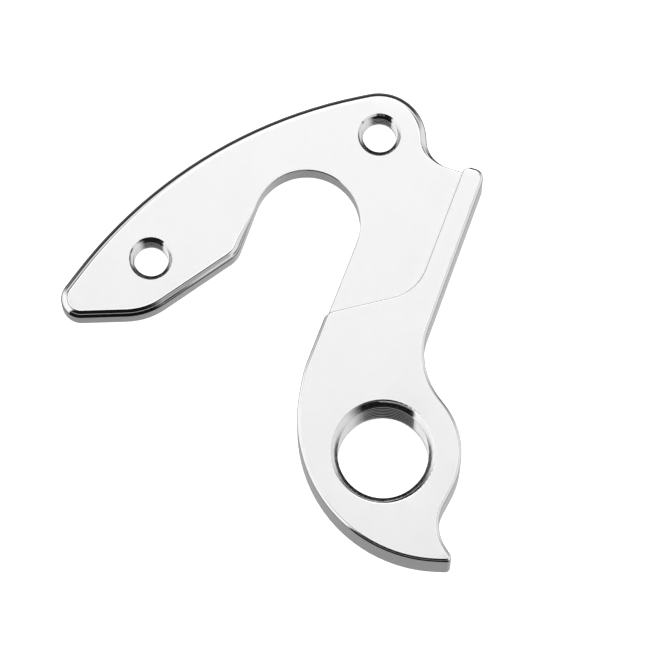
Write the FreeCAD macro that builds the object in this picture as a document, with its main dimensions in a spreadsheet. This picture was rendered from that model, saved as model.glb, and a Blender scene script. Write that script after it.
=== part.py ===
import FreeCAD, Part
import Sketcher
import math
import os

# Bicycle derailleur hanger, one plate machined from aluminium.
#
# Frame: the origin is on the axis of the large M10x1 derailleur thread, in the
# plane of the flat outer face that the derailleur bolts against. +Z leaves the
# stepped face, which looks at the wheel. +Y runs up towards the upper attachment
# hole and +X towards the rear of the bicycle. "Front" below means the stepped face
# and "back" the flat one.
#
# The plan outline is a closed loop of 14 arcs joined by their common tangent
# lines. Each arc is given by its centre, its radius and the side it turns to.
# A positive radius is a convex corner and a negative one a concave corner. The
# loop runs counter-clockwise.

os.makedirs("parts", exist_ok=True)
doc = FreeCAD.newDocument("derailleur_hanger")
sheet = doc.addObject("Spreadsheet::Sheet", "Dimensions")

OUTLINE = [
    # name          centre x   centre y   radius
    ("ArmBack",       7.03,     -9.30,    46.75),   # long upper edge of the arm
    ("ArmTip",      -29.94,     16.03,     1.98),
    ("ArmBelly",    -25.62,     21.27,     7.08),
    ("SlotLip",     -16.57,     22.13,     2.67),
    ("AxleSlot",     -7.54,     23.53,    -5.30),
    ("BodyLeft",      2.68,      5.14,    10.91),
    ("BodyBelly",     5.76,      3.33,    14.26),
    ("TailEnd",       6.17,    -10.46,     0.50),
    ("TailNotch",     9.71,     -7.185,   -4.25),
    ("MountBoss",     0.00,      0.00,     7.70),   # concentric with the M10 thread
    ("Waist",        11.35,      9.84,    -7.30),
    ("RibEnd",        8.93,     27.36,     0.98),
    ("BossNotch",     7.51,     32.07,    -3.12),
    ("UpperBoss",    -0.37,     32.06,     4.75),
]

DIMS = [
    # thicknesses
    ("BodyThick", 8.0),        # body and rib
    ("ArmThick", 4.0),         # attachment arm
    # large thread M10x1: core radius, countersink depth in front, edge break behind
    ("MainCore", 4.50),
    ("MainSink", 0.62),
    ("MainBack", 0.20),
    # two small threads M4x0.7
    ("ScrewCore", 1.70),
    ("ScrewSink", 0.45),
    ("ScrewBack", 0.20),
    ("HoleAcrossLow", -23.01),
    ("HoleUpLow", 19.97),
    ("HoleAcrossTop", -0.32),
    ("HoleUpTop", 32.47),
    # edge rounds
    ("RoundArm", 0.74),        # outer edge of the arm
    ("RoundSlot", 0.12),       # edge of the axle slot
    ("RoundRim", 0.25),        # rim of the large countersink
    ("RoundBody", 0.34),       # outer edge of the thick body
    ("RoundStep", 0.12),       # top of the milled step
    ("RoundBack", 0.45),       # back edge
]

row = 1
for name, value in DIMS:
    sheet.set("A%d" % row, name)
    sheet.set("B%d" % row, repr(value))
    sheet.setAlias("B%d" % row, name)
    row += 1
for name, cx, cy, rad in OUTLINE:
    for tail, value in (("Across", cx), ("Up", cy), ("Rad", abs(rad))):
        sheet.set("A%d" % row, name + tail)
        sheet.set("B%d" % row, repr(value))
        sheet.setAlias("B%d" % row, name + tail)
        row += 1
doc.recompute()


def dim(name):
    return float(sheet.get(name))


def check(what):
    bad = [o.Name for o in doc.Objects if "Invalid" in o.State or "Error" in o.State]
    if bad:
        raise RuntimeError("%s failed in %s" % (what, bad))


V = FreeCAD.Vector


def tangent_line(a, b):
    """Common tangent from circle a to circle b; each is (x, y, r, side)."""
    dx, dy = b[0] - a[0], b[1] - a[1]
    k = b[3] * b[2] - a[3] * a[2]
    heading = math.atan2(dy, dx) - math.asin(k / math.hypot(dx, dy))
    nx, ny = -math.sin(heading), math.cos(heading)
    return ((a[0] - a[3] * a[2] * nx, a[1] - a[3] * a[2] * ny),
            (b[0] - b[3] * b[2] * nx, b[1] - b[3] * b[2] * ny))


def lock(sketch, geo, pos, x, y, xname, yname):
    """Place a point from the sketch origin, bound to the sheet if named."""
    i = sketch.addConstraint(Sketcher.Constraint("DistanceX", -1, 1, geo, pos, x))
    j = sketch.addConstraint(Sketcher.Constraint("DistanceY", -1, 1, geo, pos, y))
    if xname:
        sketch.renameConstraint(i, xname)
        sketch.setExpression("Constraints." + xname, "Dimensions." + xname)
    if yname:
        sketch.renameConstraint(j, yname)
        sketch.setExpression("Constraints." + yname, "Dimensions." + yname)


body = doc.addObject("PartDesign::Body", "HangerBody")
body.Label = "hanger_body"
xy = [f for f in body.Origin.OriginFeatures if f.Role == "XY_Plane"][0]


def new_sketch(name, height=0.0, bound=None):
    s = body.newObject("Sketcher::SketchObject", name)
    s.AttachmentSupport = [(xy, "")]
    s.MapMode = "FlatFace"
    s.AttachmentOffset = FreeCAD.Placement(V(0, 0, height), FreeCAD.Rotation())
    if bound:
        s.setExpression("AttachmentOffset.Base.z", "Dimensions." + bound)
    return s


# 1. Blank: the whole outline at the body's full thickness.
outline = new_sketch("Outline")
circles = []
for name, cx, cy, rad in OUTLINE:
    circles.append((dim(name + "Across"), dim(name + "Up"), dim(name + "Rad"),
                    1 if rad > 0 else -1))
n = len(circles)
lines = [tangent_line(circles[i], circles[(i + 1) % n]) for i in range(n)]
arc_ids = []
for i, (cx, cy, r, side) in enumerate(circles):
    pin, pout = lines[i - 1][1], lines[i][0]
    a0 = math.atan2(pin[1] - cy, pin[0] - cx)
    a1 = math.atan2(pout[1] - cy, pout[0] - cx)
    first, last = (a0, a1) if side > 0 else (a1, a0)
    while last < first:
        last += 2 * math.pi
    arc_ids.append(outline.addGeometry(
        Part.ArcOfCircle(Part.Circle(V(cx, cy, 0), V(0, 0, 1), r), first, last), False))
line_ids = [outline.addGeometry(Part.LineSegment(V(p[0], p[1], 0), V(q[0], q[1], 0)), False)
            for p, q in lines]
for i, (name, _, _, _) in enumerate(OUTLINE):
    cx, cy, r, side = circles[i]
    k = outline.addConstraint(Sketcher.Constraint("Radius", arc_ids[i], r))
    outline.renameConstraint(k, name + "Rad")
    outline.setExpression("Constraints." + name + "Rad", "Dimensions." + name + "Rad")
    if name == "MountBoss":
        outline.addConstraint(Sketcher.Constraint("Coincident", arc_ids[i], 3, -1, 1))
    else:
        lock(outline, arc_ids[i], 3, cx, cy, name + "Across", name + "Up")
for i in range(n):
    j = (i + 1) % n
    leave = 2 if circles[i][3] > 0 else 1      # where the loop leaves arc i
    enter = 1 if circles[j][3] > 0 else 2      # where it enters arc j
    outline.addConstraint(Sketcher.Constraint("Tangent", line_ids[i], 1, arc_ids[i], leave))
    outline.addConstraint(Sketcher.Constraint("Tangent", line_ids[i], 2, arc_ids[j], enter))
doc.recompute()
check("outline")

blank = body.newObject("PartDesign::Pad", "Blank")
blank.Profile = outline
blank.setExpression("Length", "Dimensions.BodyThick")
doc.recompute()
check("blank")
blank_volume = blank.Shape.Volume

# 2. The arm is milled down to its own thickness. What stays proud of it is the
#    lower body and the round-ended rib up the rear edge. The cut's boundary runs
#    up the rib's inner side, round its end and off the plate, and the other way
#    round the inner corner, along the step and round a small corner to the slot's
#    straight wall.
mill = new_sketch("ArmMilling", dim("BodyThick"), "BodyThick")
STEP = [
    # x, y, corner radius of the cut's boundary
    (12.5, 29.10, 0.0),
    (7.993, 28.325, 0.80),
    (3.323, 15.935, 4.60),
    (-5.628, 13.809, 2.00),
    (-12.0, 2.60, 0.0),
    (-42.0, 2.60, 0.0),
    (-42.0, 46.0, 0.0),
    (12.5, 46.0, 0.0),
]


def rounded_loop(points):
    """Line and arc geometry for a closed polygon with rounded corners."""
    m = len(points)
    ins, outs, arcs = [], [], []
    for i in range(m):
        a, b, c = [V(points[k % m][0], points[k % m][1], 0) for k in (i - 1, i, i + 1)]
        r = points[i][2]
        d1, d2 = (b - a).normalize(), (c - b).normalize()
        turn = math.atan2(d1.cross(d2).z, d1.dot(d2))
        if r <= 0:
            ins.append(b); outs.append(b); arcs.append(None)
            continue
        cut = r * math.tan(abs(turn) / 2)
        p, q = b - d1 * cut, b + d2 * cut
        side = 1 if turn > 0 else -1
        cen = p + V(-d1.y, d1.x, 0) * (side * r)
        a0 = math.atan2(p.y - cen.y, p.x - cen.x)
        a1 = math.atan2(q.y - cen.y, q.x - cen.x)
        first, last = (a0, a1) if side > 0 else (a1, a0)
        while last < first:
            last += 2 * math.pi
        ins.append(p); outs.append(q)
        arcs.append((cen, r, first, last, side))
    return ins, outs, arcs


ins, outs, arcs = rounded_loop(STEP)
m = len(STEP)
mill_lines = []
for i in range(m):
    mill_lines.append(mill.addGeometry(Part.LineSegment(outs[i], ins[(i + 1) % m]), False))
for i in range(m):
    if arcs[i] is None:
        mill.addConstraint(Sketcher.Constraint("Coincident", mill_lines[i - 1], 2,
                                               mill_lines[i], 1))
    else:
        cen, r, first, last, side = arcs[i]
        g = mill.addGeometry(Part.ArcOfCircle(Part.Circle(cen, V(0, 0, 1), r), first, last),
                             False)
        mill.addConstraint(Sketcher.Constraint("Tangent", mill_lines[i - 1], 2, g,
                                               1 if side > 0 else 2))
        mill.addConstraint(Sketcher.Constraint("Tangent", mill_lines[i], 1, g,
                                               2 if side > 0 else 1))
        mill.addConstraint(Sketcher.Constraint("Radius", g, r))
        lock(mill, g, 3, cen.x, cen.y, None, None)
for i in (0, 4, 5, 6, 7):
    lock(mill, mill_lines[i], 1, outs[i].x, outs[i].y, None, None)
doc.recompute()
check("step sketch")

milling = body.newObject("PartDesign::Pocket", "MilledArm")
milling.Profile = mill
milling.setExpression("Length", "Dimensions.BodyThick - Dimensions.ArmThick")
doc.recompute()
check("milled arm")
milled_volume = milling.Shape.Volume
if not milled_volume < 0.85 * blank_volume:
    raise RuntimeError("the arm was not milled down")

# 3. The three bores at their thread's core diameter.
bores = new_sketch("Bores", dim("BodyThick"), "BodyThick")
for name, core, ax, up in (("Main", "MainCore", None, None),
                           ("Low", "ScrewCore", "HoleAcrossLow", "HoleUpLow"),
                           ("Top", "ScrewCore", "HoleAcrossTop", "HoleUpTop")):
    x, y = (dim(ax), dim(up)) if ax else (0.0, 0.0)
    g = bores.addGeometry(Part.Circle(V(x, y, 0), V(0, 0, 1), dim(core)), False)
    k = bores.addConstraint(Sketcher.Constraint("Radius", g, dim(core)))
    bores.renameConstraint(k, name + "Core")
    bores.setExpression("Constraints." + name + "Core", "Dimensions." + core)
    if ax:
        lock(bores, g, 3, x, y, ax, up)
    else:
        bores.addConstraint(Sketcher.Constraint("Coincident", g, 3, -1, 1))
doc.recompute()
drill = body.newObject("PartDesign::Pocket", "DrilledBores")
drill.Profile = bores
drill.Type = 1                      # through all
doc.recompute()
check("bores")
want = math.pi * (dim("MainCore") ** 2 * dim("BodyThick")
                  + 2 * dim("ScrewCore") ** 2 * dim("ArmThick"))
if abs(milled_volume - drill.Shape.Volume - want) > 0.01 * want:
    raise RuntimeError("the bores removed the wrong volume")


# 4. Countersinks at 90 degrees in front, the large one with a softened rim, and
#    small edge breaks behind.
def rim(shape, x, y, z, r):
    for i, e in enumerate(shape.Edges):
        c = e.Curve
        if isinstance(c, Part.Circle) and abs(c.Radius - r) < 1e-4 \
                and abs(c.Center.x - x) < 1e-3 and abs(c.Center.y - y) < 1e-3 \
                and abs(c.Center.z - z) < 1e-3 and e.isClosed():
            return "Edge%d" % (i + 1)
    raise RuntimeError("no rim at %s %s %s" % (x, y, z))


HOLES = [
    ("Main", 0.0, 0.0, "MainCore", "BodyThick"),
    ("Low", dim("HoleAcrossLow"), dim("HoleUpLow"), "ScrewCore", "ArmThick"),
    ("Top", dim("HoleAcrossTop"), dim("HoleUpTop"), "ScrewCore", "ArmThick"),
]
last_feature = drill
for label, size, face in (("MainSink", "MainSink", "front"), ("MainBack", "MainBack", "back"),
                          ("ScrewSink", "ScrewSink", "front"), ("ScrewBack", "ScrewBack", "back")):
    picks = []
    for name, x, y, core, thick in HOLES:
        if core[:4] == label[:4]:
            z = dim(thick) if face == "front" else 0.0
            picks.append(rim(last_feature.Shape, x, y, z, dim(core)))
    f = body.newObject("PartDesign::Chamfer", label + "Chamfer")
    f.Base = (last_feature, picks)
    f.setExpression("Size", "Dimensions." + size)
    doc.recompute()
    check(label)
    last_feature = f
softened = body.newObject("PartDesign::Fillet", "SoftRim")
softened.Base = (last_feature, [rim(last_feature.Shape, 0.0, 0.0, dim("BodyThick"),
                                    dim("MainCore") + dim("MainSink"))])
softened.setExpression("Radius", "Dimensions.RoundRim")
doc.recompute()
check("soft rim")
body.Tip = softened
doc.recompute()

# 5. Edge rounds. The arm has a generous round on its outer edge, which runs out
#    at the rib and up the slot's left wall; the slot itself is only broken. The
#    thick body has a smaller round, the milled step a finer one, and the back
#    edge its own round.
base = body.Shape
zt, zb = dim("ArmThick"), dim("BodyThick")


def flat(e, z):
    b = e.BoundBox
    return abs(b.ZMin - z) < 1e-4 and abs(b.ZMax - z) < 1e-4


def is_bore_rim(e):
    return isinstance(e.Curve, Part.Circle) and e.isClosed()


def middle(e):
    return e.valueAt((e.FirstParameter + e.LastParameter) / 2)


def along(e, name):
    """True if the edge belongs to the named outline arc."""
    for (nm, _, _, _), (cx, cy, r, side) in zip(OUTLINE, circles):
        if nm == name and isinstance(e.Curve, Part.Circle):
            c = e.Curve
            return abs(c.Radius - r) < 1e-3 and abs(c.Center.x - cx) < 1e-3 \
                and abs(c.Center.y - cy) < 1e-3
    return False


def on_outline(e):
    """True if the edge lies on the plan outline rather than on the step."""
    p = middle(e)
    for (cx, cy, r, side), (a, b), nm in zip(circles, lines, OUTLINE):
        if isinstance(e.Curve, Part.Circle) and along(e, nm[0]):
            return True
    for a, b in lines:
        d = V(b[0] - a[0], b[1] - a[1], 0)
        w = V(p.x - a[0], p.y - a[1], 0)
        if not isinstance(e.Curve, Part.Circle) and abs(d.cross(w).z) / d.Length < 1e-3 \
                and -0.01 < w.dot(d) / d.Length < d.Length + 0.01:
            return True
    return False


STEP_MARKS = [middle(e) for e in base.Edges
              if flat(e, zb) and not is_bore_rim(e) and not on_outline(e)]


def on_step(e):
    """True if the edge is one of the top edges of the milled step."""
    p = middle(e)
    return flat(e, zb) and min(p.distanceToPoint(q) for q in STEP_MARKS) < 0.5 \
        and not on_body_round(e)


def on_body_round(e):
    """True for the inner line that the outer edge round leaves on the top face."""
    p = middle(e)
    for cx, cy, r, side in circles:
        if isinstance(e.Curve, Part.Circle) and abs(e.Curve.Center.x - cx) < 1e-3 \
                and abs(e.Curve.Center.y - cy) < 1e-3:
            return True
    for a, b in lines:
        d = V(b[0] - a[0], b[1] - a[1], 0)
        w = V(p.x - a[0], p.y - a[1], 0)
        if not isinstance(e.Curve, Part.Circle) \
                and abs(abs(d.cross(w).z) / d.Length - dim("RoundBody")) < 1e-2 \
                and -0.5 < w.dot(d) / d.Length < d.Length + 0.5:
            return True
    return False


arm_r, slot_r = dim("RoundArm"), dim("RoundSlot")
arm_edges = []
for i, e in enumerate(base.Edges):
    if is_bore_rim(e) or not flat(e, zt) or not on_outline(e):
        continue
    p = middle(e)
    a, b = e.valueAt(e.FirstParameter), e.valueAt(e.LastParameter)
    straight = not isinstance(e.Curve, Part.Circle)
    if along(e, "AxleSlot") or (straight and p.x > -9.0 and p.y < 25.0):
        pair = (slot_r, slot_r)                       # slot and its right wall
    elif straight and -14.5 < p.x < -11.0 and 20.0 < p.y < 26.5:
        pair = (arm_r, slot_r) if a.y < b.y else (slot_r, arm_r)
    elif along(e, "BossNotch"):
        pair = (slot_r, arm_r) if a.x > b.x else (arm_r, slot_r)
    elif along(e, "RibEnd") or (straight and p.x > 6.0 and p.y > 27.0):
        pair = (slot_r, slot_r)                       # foot of the rib's end
    else:
        pair = (arm_r, arm_r)
    arm_edges.append((i + 1, pair[0], pair[1]))

rounded_arm = doc.addObject("Part::Fillet", "RoundedArm")
rounded_arm.Label = "hanger_rounded_arm"
rounded_arm.Base = body
rounded_arm.Edges = arm_edges
doc.recompute()
check("arm rounds")


def round_edges(base_object, name, label, wanted, radius, ends=None):
    """An edge round on the edges that the test picks, of one radius unless ends
    gives an edge a radius at each end."""
    f = doc.addObject("Part::Fillet", name)
    f.Label = label
    f.Base = base_object
    picks = []
    for i, e in enumerate(base_object.Shape.Edges):
        if not is_bore_rim(e) and wanted(e):
            a, b = (ends and ends(e)) or (dim(radius), dim(radius))
            picks.append((i + 1, a, b))
    f.Edges = picks
    doc.recompute()
    check(name)
    return f


def on_line(e, k):
    """True if the edge lies on the straight that leaves outline arc k."""
    if isinstance(e.Curve, Part.Circle):
        return False
    (ax, ay), (bx, by) = lines[k]
    d, p = V(bx - ax, by - ay, 0), middle(e)
    w = V(p.x - ax, p.y - ay, 0)
    return abs(d.cross(w).z) / d.Length < 1e-3 and -0.01 < w.dot(d) / d.Length < d.Length + 0.01


def back_ends(e):
    """The back edge is only broken round the slot, and runs out along its walls."""
    back = dim("RoundBack")
    first, last = e.valueAt(e.FirstParameter), e.valueAt(e.LastParameter)
    if along(e, "AxleSlot"):
        return slot_r, slot_r
    if on_line(e, 3) or on_line(e, 4):                # left wall, right wall
        return (back, slot_r) if first.y < last.y else (slot_r, back)
    return None


rounded_body = round_edges(rounded_arm, "RoundedBody", "hanger_rounded_body",
                           lambda e: flat(e, zb) and on_outline(e), "RoundBody")
rounded_step = round_edges(rounded_body, "RoundedStep", "hanger_rounded_step",
                           on_step, "RoundStep")
hanger = round_edges(rounded_step, "Hanger", "hanger",
                     lambda e: flat(e, 0.0), "RoundBack", back_ends)
print("edges rounded: arm %d, body %d, step %d, back %d"
      % (len(arm_edges), len(rounded_body.Edges), len(rounded_step.Edges), len(hanger.Edges)))

for o in (body, rounded_arm, rounded_body, rounded_step):
    if o.Shape.isNull() or not o.Shape.isValid():
        raise RuntimeError("%s is not valid" % o.Name)
shape = hanger.Shape
if shape.isNull() or not shape.isValid() or len(shape.Solids) != 1:
    raise RuntimeError("the hanger is not one valid solid")
bb = shape.BoundBox
print("volume mm3 %.2f  solids %d  faces %d" % (shape.Volume, len(shape.Solids), len(shape.Faces)))
print("box %.3f %.3f %.3f  %.3f %.3f %.3f" % (bb.XMin, bb.YMin, bb.ZMin, bb.XMax, bb.YMax, bb.ZMax))
shape.exportStep("parts/hanger.step")
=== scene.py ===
import math

import bmesh
import bpy
from mathutils import Matrix, Vector


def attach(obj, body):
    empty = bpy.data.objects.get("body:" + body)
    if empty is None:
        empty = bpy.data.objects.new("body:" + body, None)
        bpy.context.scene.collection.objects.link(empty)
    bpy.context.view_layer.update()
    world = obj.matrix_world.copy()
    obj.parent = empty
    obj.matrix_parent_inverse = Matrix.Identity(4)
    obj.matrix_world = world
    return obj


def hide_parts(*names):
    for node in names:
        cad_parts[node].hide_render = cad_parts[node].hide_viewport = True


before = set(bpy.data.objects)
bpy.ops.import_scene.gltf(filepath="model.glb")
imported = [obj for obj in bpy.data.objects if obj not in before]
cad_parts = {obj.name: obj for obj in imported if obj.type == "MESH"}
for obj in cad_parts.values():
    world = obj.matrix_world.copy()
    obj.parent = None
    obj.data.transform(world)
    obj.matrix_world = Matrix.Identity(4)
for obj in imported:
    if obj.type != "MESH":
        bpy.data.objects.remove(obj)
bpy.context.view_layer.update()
scene = bpy.context.scene

# ---------------------------------------------------------------- sizes, metres
MM = 0.001
BODY_TOP = 8.0 * MM
ARM_TOP = 4.0 * MM
# centre x, centre y, core radius, major radius, pitch, thickness there, rim radius,
# depth at which the groove runs out, part of a turn by which it is rotated
THREADS = [
    ("derailleur", 0.0, 0.0, 4.50 * MM, 5.00 * MM, 1.00 * MM, BODY_TOP, 5.24 * MM,
     0.45 * MM, 0.0),
    ("arm_lower", -23.01 * MM, 19.97 * MM, 1.70 * MM, 2.00 * MM, 0.70 * MM, ARM_TOP, 2.17 * MM,
     -1.0 * MM, 0.5),
    ("arm_upper", -0.32 * MM, 32.47 * MM, 1.70 * MM, 2.00 * MM, 0.70 * MM, ARM_TOP, 2.17 * MM,
     -1.0 * MM, 0.5),
]


# ------------------------------------------------------------------- materials
def new_material(name):
    m = bpy.data.materials.new(name)
    m.use_nodes = True
    nt = m.node_tree
    nt.nodes.clear()
    out = nt.nodes.new("ShaderNodeOutputMaterial")
    bsdf = nt.nodes.new("ShaderNodeBsdfPrincipled")
    nt.links.new(bsdf.outputs["BSDF"], out.inputs["Surface"])
    return m, nt, bsdf


def noise(nt, coords, size, detail=2.0, rough=0.5):
    """Noise whose grain is about size metres across."""
    n = nt.nodes.new("ShaderNodeTexNoise")
    n.inputs["Scale"].default_value = 1.0 / size
    n.inputs["Detail"].default_value = detail
    n.inputs["Roughness"].default_value = rough
    nt.links.new(coords, n.inputs["Vector"])
    return n.outputs["Fac"]


def span(nt, fac, low, high, start=0.3, end=0.7):
    """Maps a noise's middle range on to low..high."""
    r = nt.nodes.new("ShaderNodeMapRange")
    r.inputs["From Min"].default_value = start
    r.inputs["From Max"].default_value = end
    r.inputs["To Min"].default_value = low
    r.inputs["To Max"].default_value = high
    nt.links.new(fac, r.inputs["Value"])
    return r.outputs["Result"]


def tint(nt, fac, dark, light):
    r = nt.nodes.new("ShaderNodeValToRGB")
    r.color_ramp.elements[0].position = 0.3
    r.color_ramp.elements[0].color = (*dark, 1)
    r.color_ramp.elements[1].position = 0.7
    r.color_ramp.elements[1].color = (*light, 1)
    nt.links.new(fac, r.inputs["Fac"])
    return r.outputs["Color"]


def aluminium(name, dark, light, rough_low, rough_high, grain, bump_height, bump_strength):
    """Anodised aluminium: blast grain in the bump, slow mottling in colour and gloss."""
    m, nt, bsdf = new_material(name)
    coords = nt.nodes.new("ShaderNodeTexCoord").outputs["Object"]
    bsdf.inputs["Metallic"].default_value = 1.0
    nt.links.new(tint(nt, noise(nt, coords, 3.0 * MM, 4.0, 0.6), dark, light),
                 bsdf.inputs["Base Color"])
    nt.links.new(span(nt, noise(nt, coords, 0.5 * MM, 3.0), rough_low, rough_high),
                 bsdf.inputs["Roughness"])
    if bump_strength > 0:
        b = nt.nodes.new("ShaderNodeBump")
        b.inputs["Strength"].default_value = bump_strength
        b.inputs["Distance"].default_value = bump_height
        nt.links.new(noise(nt, coords, grain, 3.0, 0.6), b.inputs["Height"])
        nt.links.new(b.outputs["Normal"], bsdf.inputs["Normal"])
    return m


def turned(name, dark, light, rough_low, rough_high, ring):
    """A tool-cut surface: fine rings along the thread's axis, which is Z."""
    m, nt, bsdf = new_material(name)
    coords = nt.nodes.new("ShaderNodeTexCoord").outputs["Object"]
    bsdf.inputs["Metallic"].default_value = 1.0
    stretch = nt.nodes.new("ShaderNodeMapping")
    stretch.inputs["Scale"].default_value = (0.12, 0.12, 1.0)
    nt.links.new(coords, stretch.inputs["Vector"])
    rings = noise(nt, stretch.outputs["Vector"], ring, 2.0)
    nt.links.new(tint(nt, rings, dark, light), bsdf.inputs["Base Color"])
    nt.links.new(span(nt, rings, rough_low, rough_high), bsdf.inputs["Roughness"])
    b = nt.nodes.new("ShaderNodeBump")
    b.inputs["Strength"].default_value = 0.25
    b.inputs["Distance"].default_value = 0.004 * MM
    nt.links.new(rings, b.inputs["Height"])
    nt.links.new(b.outputs["Normal"], bsdf.inputs["Normal"])
    return m


MATERIALS = [
    aluminium("blasted_face", (0.872, 0.872, 0.877), (0.888, 0.888, 0.893),
              0.31, 0.34, 0.16 * MM, 0.004 * MM, 0.12),
    aluminium("blasted_wall", (0.81, 0.81, 0.82), (0.85, 0.85, 0.86),
              0.26, 0.32, 0.16 * MM, 0.004 * MM, 0.16),
    aluminium("smooth_round", (0.87, 0.87, 0.88), (0.90, 0.90, 0.91),
              0.08, 0.11, 0.40 * MM, 0.002 * MM, 0.05),
    turned("cut_bore", (0.80, 0.80, 0.81), (0.88, 0.88, 0.89), 0.09, 0.16, 0.08 * MM),
]
FACE, WALL, ROUND, BORE = range(4)

# ------------------------------------------------ the plate, from the CAD solid
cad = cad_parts["hanger"]
bm = bmesh.new()
bm.from_mesh(cad.data)
bmesh.ops.remove_doubles(bm, verts=bm.verts, dist=1e-7)
bm.verts.index_update()
plate_mesh = bpy.data.meshes.new("hanger_plate")
plate_mesh.from_pydata([v.co.copy() for v in bm.verts], [],
                       [[v.index for v in f.verts] for f in bm.faces])
bm.free()
plate_mesh.update()
for m in MATERIALS:
    plate_mesh.materials.append(m)


def surface_of(normal, centre):
    """Which of the four surfaces a facet belongs to."""
    for _, cx, cy, core, major, pitch, top, rim, begin, turn in THREADS:
        away = math.hypot(centre.x - cx, centre.y - cy)
        if away < rim + 0.02 * MM and abs(normal.z) < 0.999:
            return BORE
    if abs(normal.z) > 0.9995:
        return FACE
    if abs(normal.z) < 0.02:
        return WALL
    return ROUND


for p in plate_mesh.polygons:
    p.material_index = surface_of(p.normal, p.center)
plate = bpy.data.objects.new("plate_blank", plate_mesh)
scene.collection.objects.link(plate)


# ---------------------------------------------------------------- real threads
def tap(name, cx, cy, core, major, pitch, top, rim, begin, turn, steps=84):
    """The groove of a 60 degree right-hand thread as a closed helical solid. It
    runs out over half a turn at its upper end."""
    inner = core - 0.10 * MM
    root = pitch * 0.10
    mouth = root + (major - inner) * math.tan(math.radians(30))
    low, high = -1.5 * pitch, top - begin
    count = int(steps * (high - low) / pitch)
    section = ((0.0, -mouth), (major - inner, -root), (major - inner, root), (0.0, mouth))
    verts, faces = [], []
    for i in range(count + 1):
        t = 2 * math.pi * (i / steps + turn)
        z = low + pitch * i / steps
        full = max(0.05, min(1.0, (high - z) / (0.5 * pitch)))
        for dr, dz in section:
            r = inner + dr * full
            verts.append((cx + r * math.cos(t), cy + r * math.sin(t), z + dz * full))
    for i in range(count):
        for k in range(4):
            a, b = 4 * i + k, 4 * i + (k + 1) % 4
            faces.append((a, b, b + 4))
            faces.append((a, b + 4, a + 4))
    e = 4 * count
    faces += [(0, 2, 1), (0, 3, 2), (e, e + 1, e + 2), (e, e + 2, e + 3)]
    mesh = bpy.data.meshes.new("tap_" + name)
    mesh.from_pydata(verts, [], faces)
    t = bmesh.new()
    t.from_mesh(mesh)
    bmesh.ops.recalc_face_normals(t, faces=t.faces)
    t.to_mesh(mesh)
    t.free()
    for m in MATERIALS:
        mesh.materials.append(m)
    for p in mesh.polygons:
        p.material_index = BORE
    o = bpy.data.objects.new("tap_" + name, mesh)
    scene.collection.objects.link(o)
    return o


taps = [tap(*t) for t in THREADS]
for o in taps:
    cut = plate.modifiers.new(o.name, "BOOLEAN")
    cut.operation = "DIFFERENCE"
    cut.solver = "EXACT"
    cut.object = o
bpy.context.view_layer.update()
threaded = bpy.data.meshes.new_from_object(
    plate.evaluated_get(bpy.context.evaluated_depsgraph_get()))
threaded.name = "hanger_threaded"
for o in taps + [plate]:
    bpy.data.objects.remove(o, do_unlink=True)

# Tidy the cut mesh, then mark the true corners sharp and leave the rounds smooth.
bm = bmesh.new()
bm.from_mesh(threaded)
bmesh.ops.remove_doubles(bm, verts=bm.verts, dist=2e-7)
bmesh.ops.dissolve_degenerate(bm, edges=bm.edges, dist=2e-7)
bmesh.ops.triangulate(bm, faces=[f for f in bm.faces if len(f.verts) > 4])
open_edges = sum(1 for e in bm.edges if len(e.link_faces) != 2)
print("hanger: %d faces, %d open edges" % (len(bm.faces), open_edges))
SHARP = math.radians(36)
for f in bm.faces:
    f.smooth = True
for e in bm.edges:
    e.smooth = len(e.link_faces) == 2 and e.calc_face_angle(0.0) < SHARP
bm.to_mesh(threaded)
bm.free()
hanger = bpy.data.objects.new("hanger_visual", threaded)
scene.collection.objects.link(hanger)
weigh = hanger.modifiers.new("flat_faces_stay_flat", "WEIGHTED_NORMAL")
weigh.mode = "FACE_AREA"
weigh.weight = 100
weigh.keep_sharp = True

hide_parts("hanger")
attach(hanger, "root")

# ------------------------------------------------------------ floor and light
floor_mesh = bpy.data.meshes.new("floor")
floor_mesh.from_pydata([(-8, -8, 0), (8, -8, 0), (8, 8, 0), (-8, 8, 0)], [], [(0, 1, 2, 3)])
floor = bpy.data.objects.new("floor", floor_mesh)
floor.location.z = -0.00002
scene.collection.objects.link(floor)
pale, nt, bsdf = new_material("pale_floor")
bsdf.inputs["Base Color"].default_value = (0.9, 0.9, 0.9, 1)
bsdf.inputs["Roughness"].default_value = 1.0
bsdf.inputs["Specular IOR Level"].default_value = 0.0
bsdf.inputs["Emission Color"].default_value = (1, 1, 1, 1)
bsdf.inputs["Emission Strength"].default_value = 1.0
floor_mesh.materials.append(pale)
# The part's low walls would otherwise mirror a glowing floor.
floor.visible_glossy = False
floor.visible_diffuse = False
floor.visible_shadow = False

# One soft box overhead. Its sides lie at these angles from straight up, in degrees.
BOX_SOUTH, BOX_NORTH, BOX_SIDE, BOX_LIGHT = -1.0, 45.0, 16.0, 1.23
near, far = math.tan(math.radians(BOX_SOUTH)), math.tan(math.radians(BOX_NORTH))
wide = 2 * math.tan(math.radians(BOX_SIDE))
lamp = bpy.data.lights.new("over_box", "AREA")
lamp.shape = "RECTANGLE"
lamp.size, lamp.size_y = wide, far - near
lamp.energy = math.pi * wide * (far - near) * BOX_LIGHT
over = bpy.data.objects.new("over_box", lamp)
over.location = (0.0, (near + far) / 2, 1.0)
over.visible_camera = False
scene.collection.objects.link(over)

# The studio round the part: a wide panel on each side, dark ends, a grey below.
world = bpy.data.worlds.new("studio")
scene.world = world
world.use_nodes = True
wt = world.node_tree
wt.nodes.clear()
w_out = wt.nodes.new("ShaderNodeOutputWorld")
w_bg = wt.nodes.new("ShaderNodeBackground")
wt.links.new(w_bg.outputs["Background"], w_out.inputs["Surface"])
toward = wt.nodes.new("ShaderNodeTexCoord").outputs["Generated"]


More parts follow.
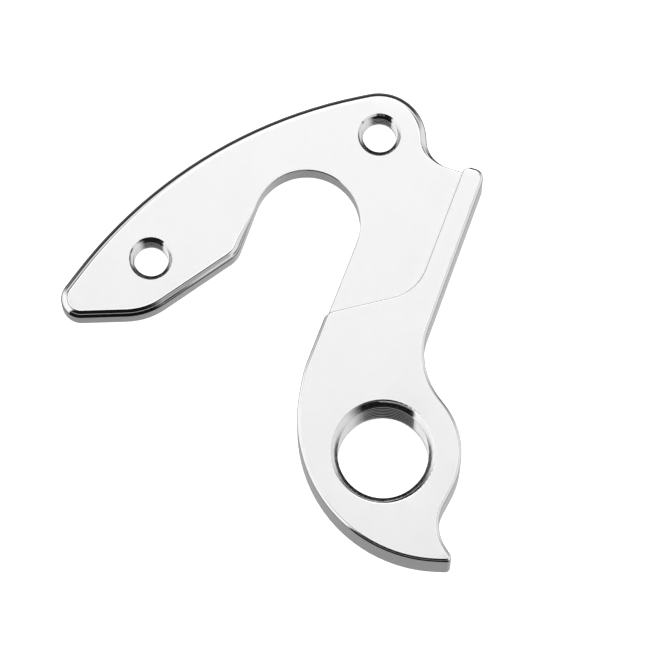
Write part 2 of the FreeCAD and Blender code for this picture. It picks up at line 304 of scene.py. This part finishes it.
def calc(kind, a, b=None):
    n = wt.nodes.new("ShaderNodeMath")
    n.operation = kind
    for i, v in enumerate((a, b)):
        if isinstance(v, (int, float)):
            n.inputs[i].default_value = v
        elif v is not None:
            wt.links.new(v, n.inputs[i])
    return n.outputs[0]


def along(x, y, z):
    n = wt.nodes.new("ShaderNodeVectorMath")
    n.operation = "DOT_PRODUCT"
    wt.links.new(toward, n.inputs[0])
    n.inputs[1].default_value = (x, y, z)
    return n.outputs["Value"]


def ease(value, start, end, low=0.0, high=1.0):
    n = wt.nodes.new("ShaderNodeMapRange")
    n.interpolation_type = "SMOOTHSTEP"
    n.inputs["From Min"].default_value = start
    n.inputs["From Max"].default_value = end
    n.inputs["To Min"].default_value = low
    n.inputs["To Max"].default_value = high
    wt.links.new(value, n.inputs["Value"])
    return n.outputs["Result"]


def side_panel(begin, begin_soft, end, end_soft, top, bottom, light):
    """Between two azimuths, counter-clockwise, and two angles from straight up."""
    level = calc("SQRT", calc("MAXIMUM", calc("SUBTRACT", 1.0,
                 calc("MULTIPLY", along(0, 0, 1), along(0, 0, 1))), 1e-6))
    b, e = math.radians(begin + 90), math.radians(end - 90)
    past = calc("DIVIDE", along(math.cos(b), math.sin(b), 0), level)
    before = calc("DIVIDE", along(math.cos(e), math.sin(e), 0), level)
    mask = calc("MULTIPLY", ease(past, 0.0, begin_soft), ease(before, 0.0, end_soft))
    t, d = math.cos(math.radians(top)), math.cos(math.radians(bottom))
    mask = calc("MULTIPLY", mask, ease(along(0, 0, 1), d - 0.05, d + 0.05))
    mask = calc("MULTIPLY", mask, ease(along(0, 0, 1), t + 0.012, t - 0.012))
    return calc("MULTIPLY", mask, light)


ends = ease(along(0, 1, 0), -0.2, 0.6, 0.006, 0.022)
below = calc("MULTIPLY", ease(along(0, 0, 1), -0.78, -0.95),
             ease(along(0.35, 0.94, 0), -0.22, 0.20, 0.33, 0.67))
# Both panels grow dimmer towards the table.
rear = calc("MULTIPLY", side_panel(-62, 0.50, 50, 0.50, 21, 125, 0.82),
            ease(along(0, 0, 1), -0.9, 0.0, 0.6, 1.0))
tip = calc("MULTIPLY", side_panel(132, 0.50, 226, 0.05, 21, 125, 1.06),
           ease(along(0, 0, 1), -0.9, 0.15, 0.25, 1.0))
# The table's own grey in the north, which the countersinks face, and the light
# roof over it.
low_north = calc("MULTIPLY", calc("MULTIPLY", ease(along(0, 0, 1), -0.04, -0.14),
                                  ease(along(0, 0, 1), -0.97, -0.80)),
                 ease(along(0, 1, 0), 0.10, 0.50, 0.0, 0.10))
roof = calc("MULTIPLY", ease(along(0, 0, 1), 0.42, 0.62),
            ease(along(0, 1, 0), 0.38, 0.56, 0.0, 0.95))
# A narrow card part of the way up in the south. Without it the flat faces turn
# black when they are seen from the other side.
south = calc("MULTIPLY", calc("MULTIPLY", ease(along(0, 0, 1), 0.36, 0.46),
                              ease(along(0, 0, 1), 0.54, 0.46)),
             ease(along(0, -1, 0), 0.45, 0.75, 0.0, 0.60))
total = calc("ADD", calc("ADD", calc("ADD", ends, low_north), calc("ADD", below, roof)),
             calc("ADD", south, calc("MAXIMUM", rear, tip)))
wt.links.new(total, w_bg.inputs["Strength"])
w_bg.inputs["Color"].default_value = (1, 1, 1, 1)

# ---------------------------------------------------------------------- camera
cam_data = bpy.data.cameras.new("camera")
cam_data.sensor_width = 36.0
cam_data.lens = 449.723
cam_data.clip_start, cam_data.clip_end = 0.01, 50.0
cam_data.dof.use_dof = False
camera = bpy.data.objects.new("camera", cam_data)
camera.location = (-0.0057289, -0.1194346, 0.7970285)
camera.rotation_euler = (math.radians(9.5), 0, 0)
scene.collection.objects.link(camera)
scene.camera = camera
scene.view_settings.view_transform = "Standard"
scene.view_settings.look = "None"
scene.view_settings.exposure = 0.0
scene.view_settings.gamma = 1.0
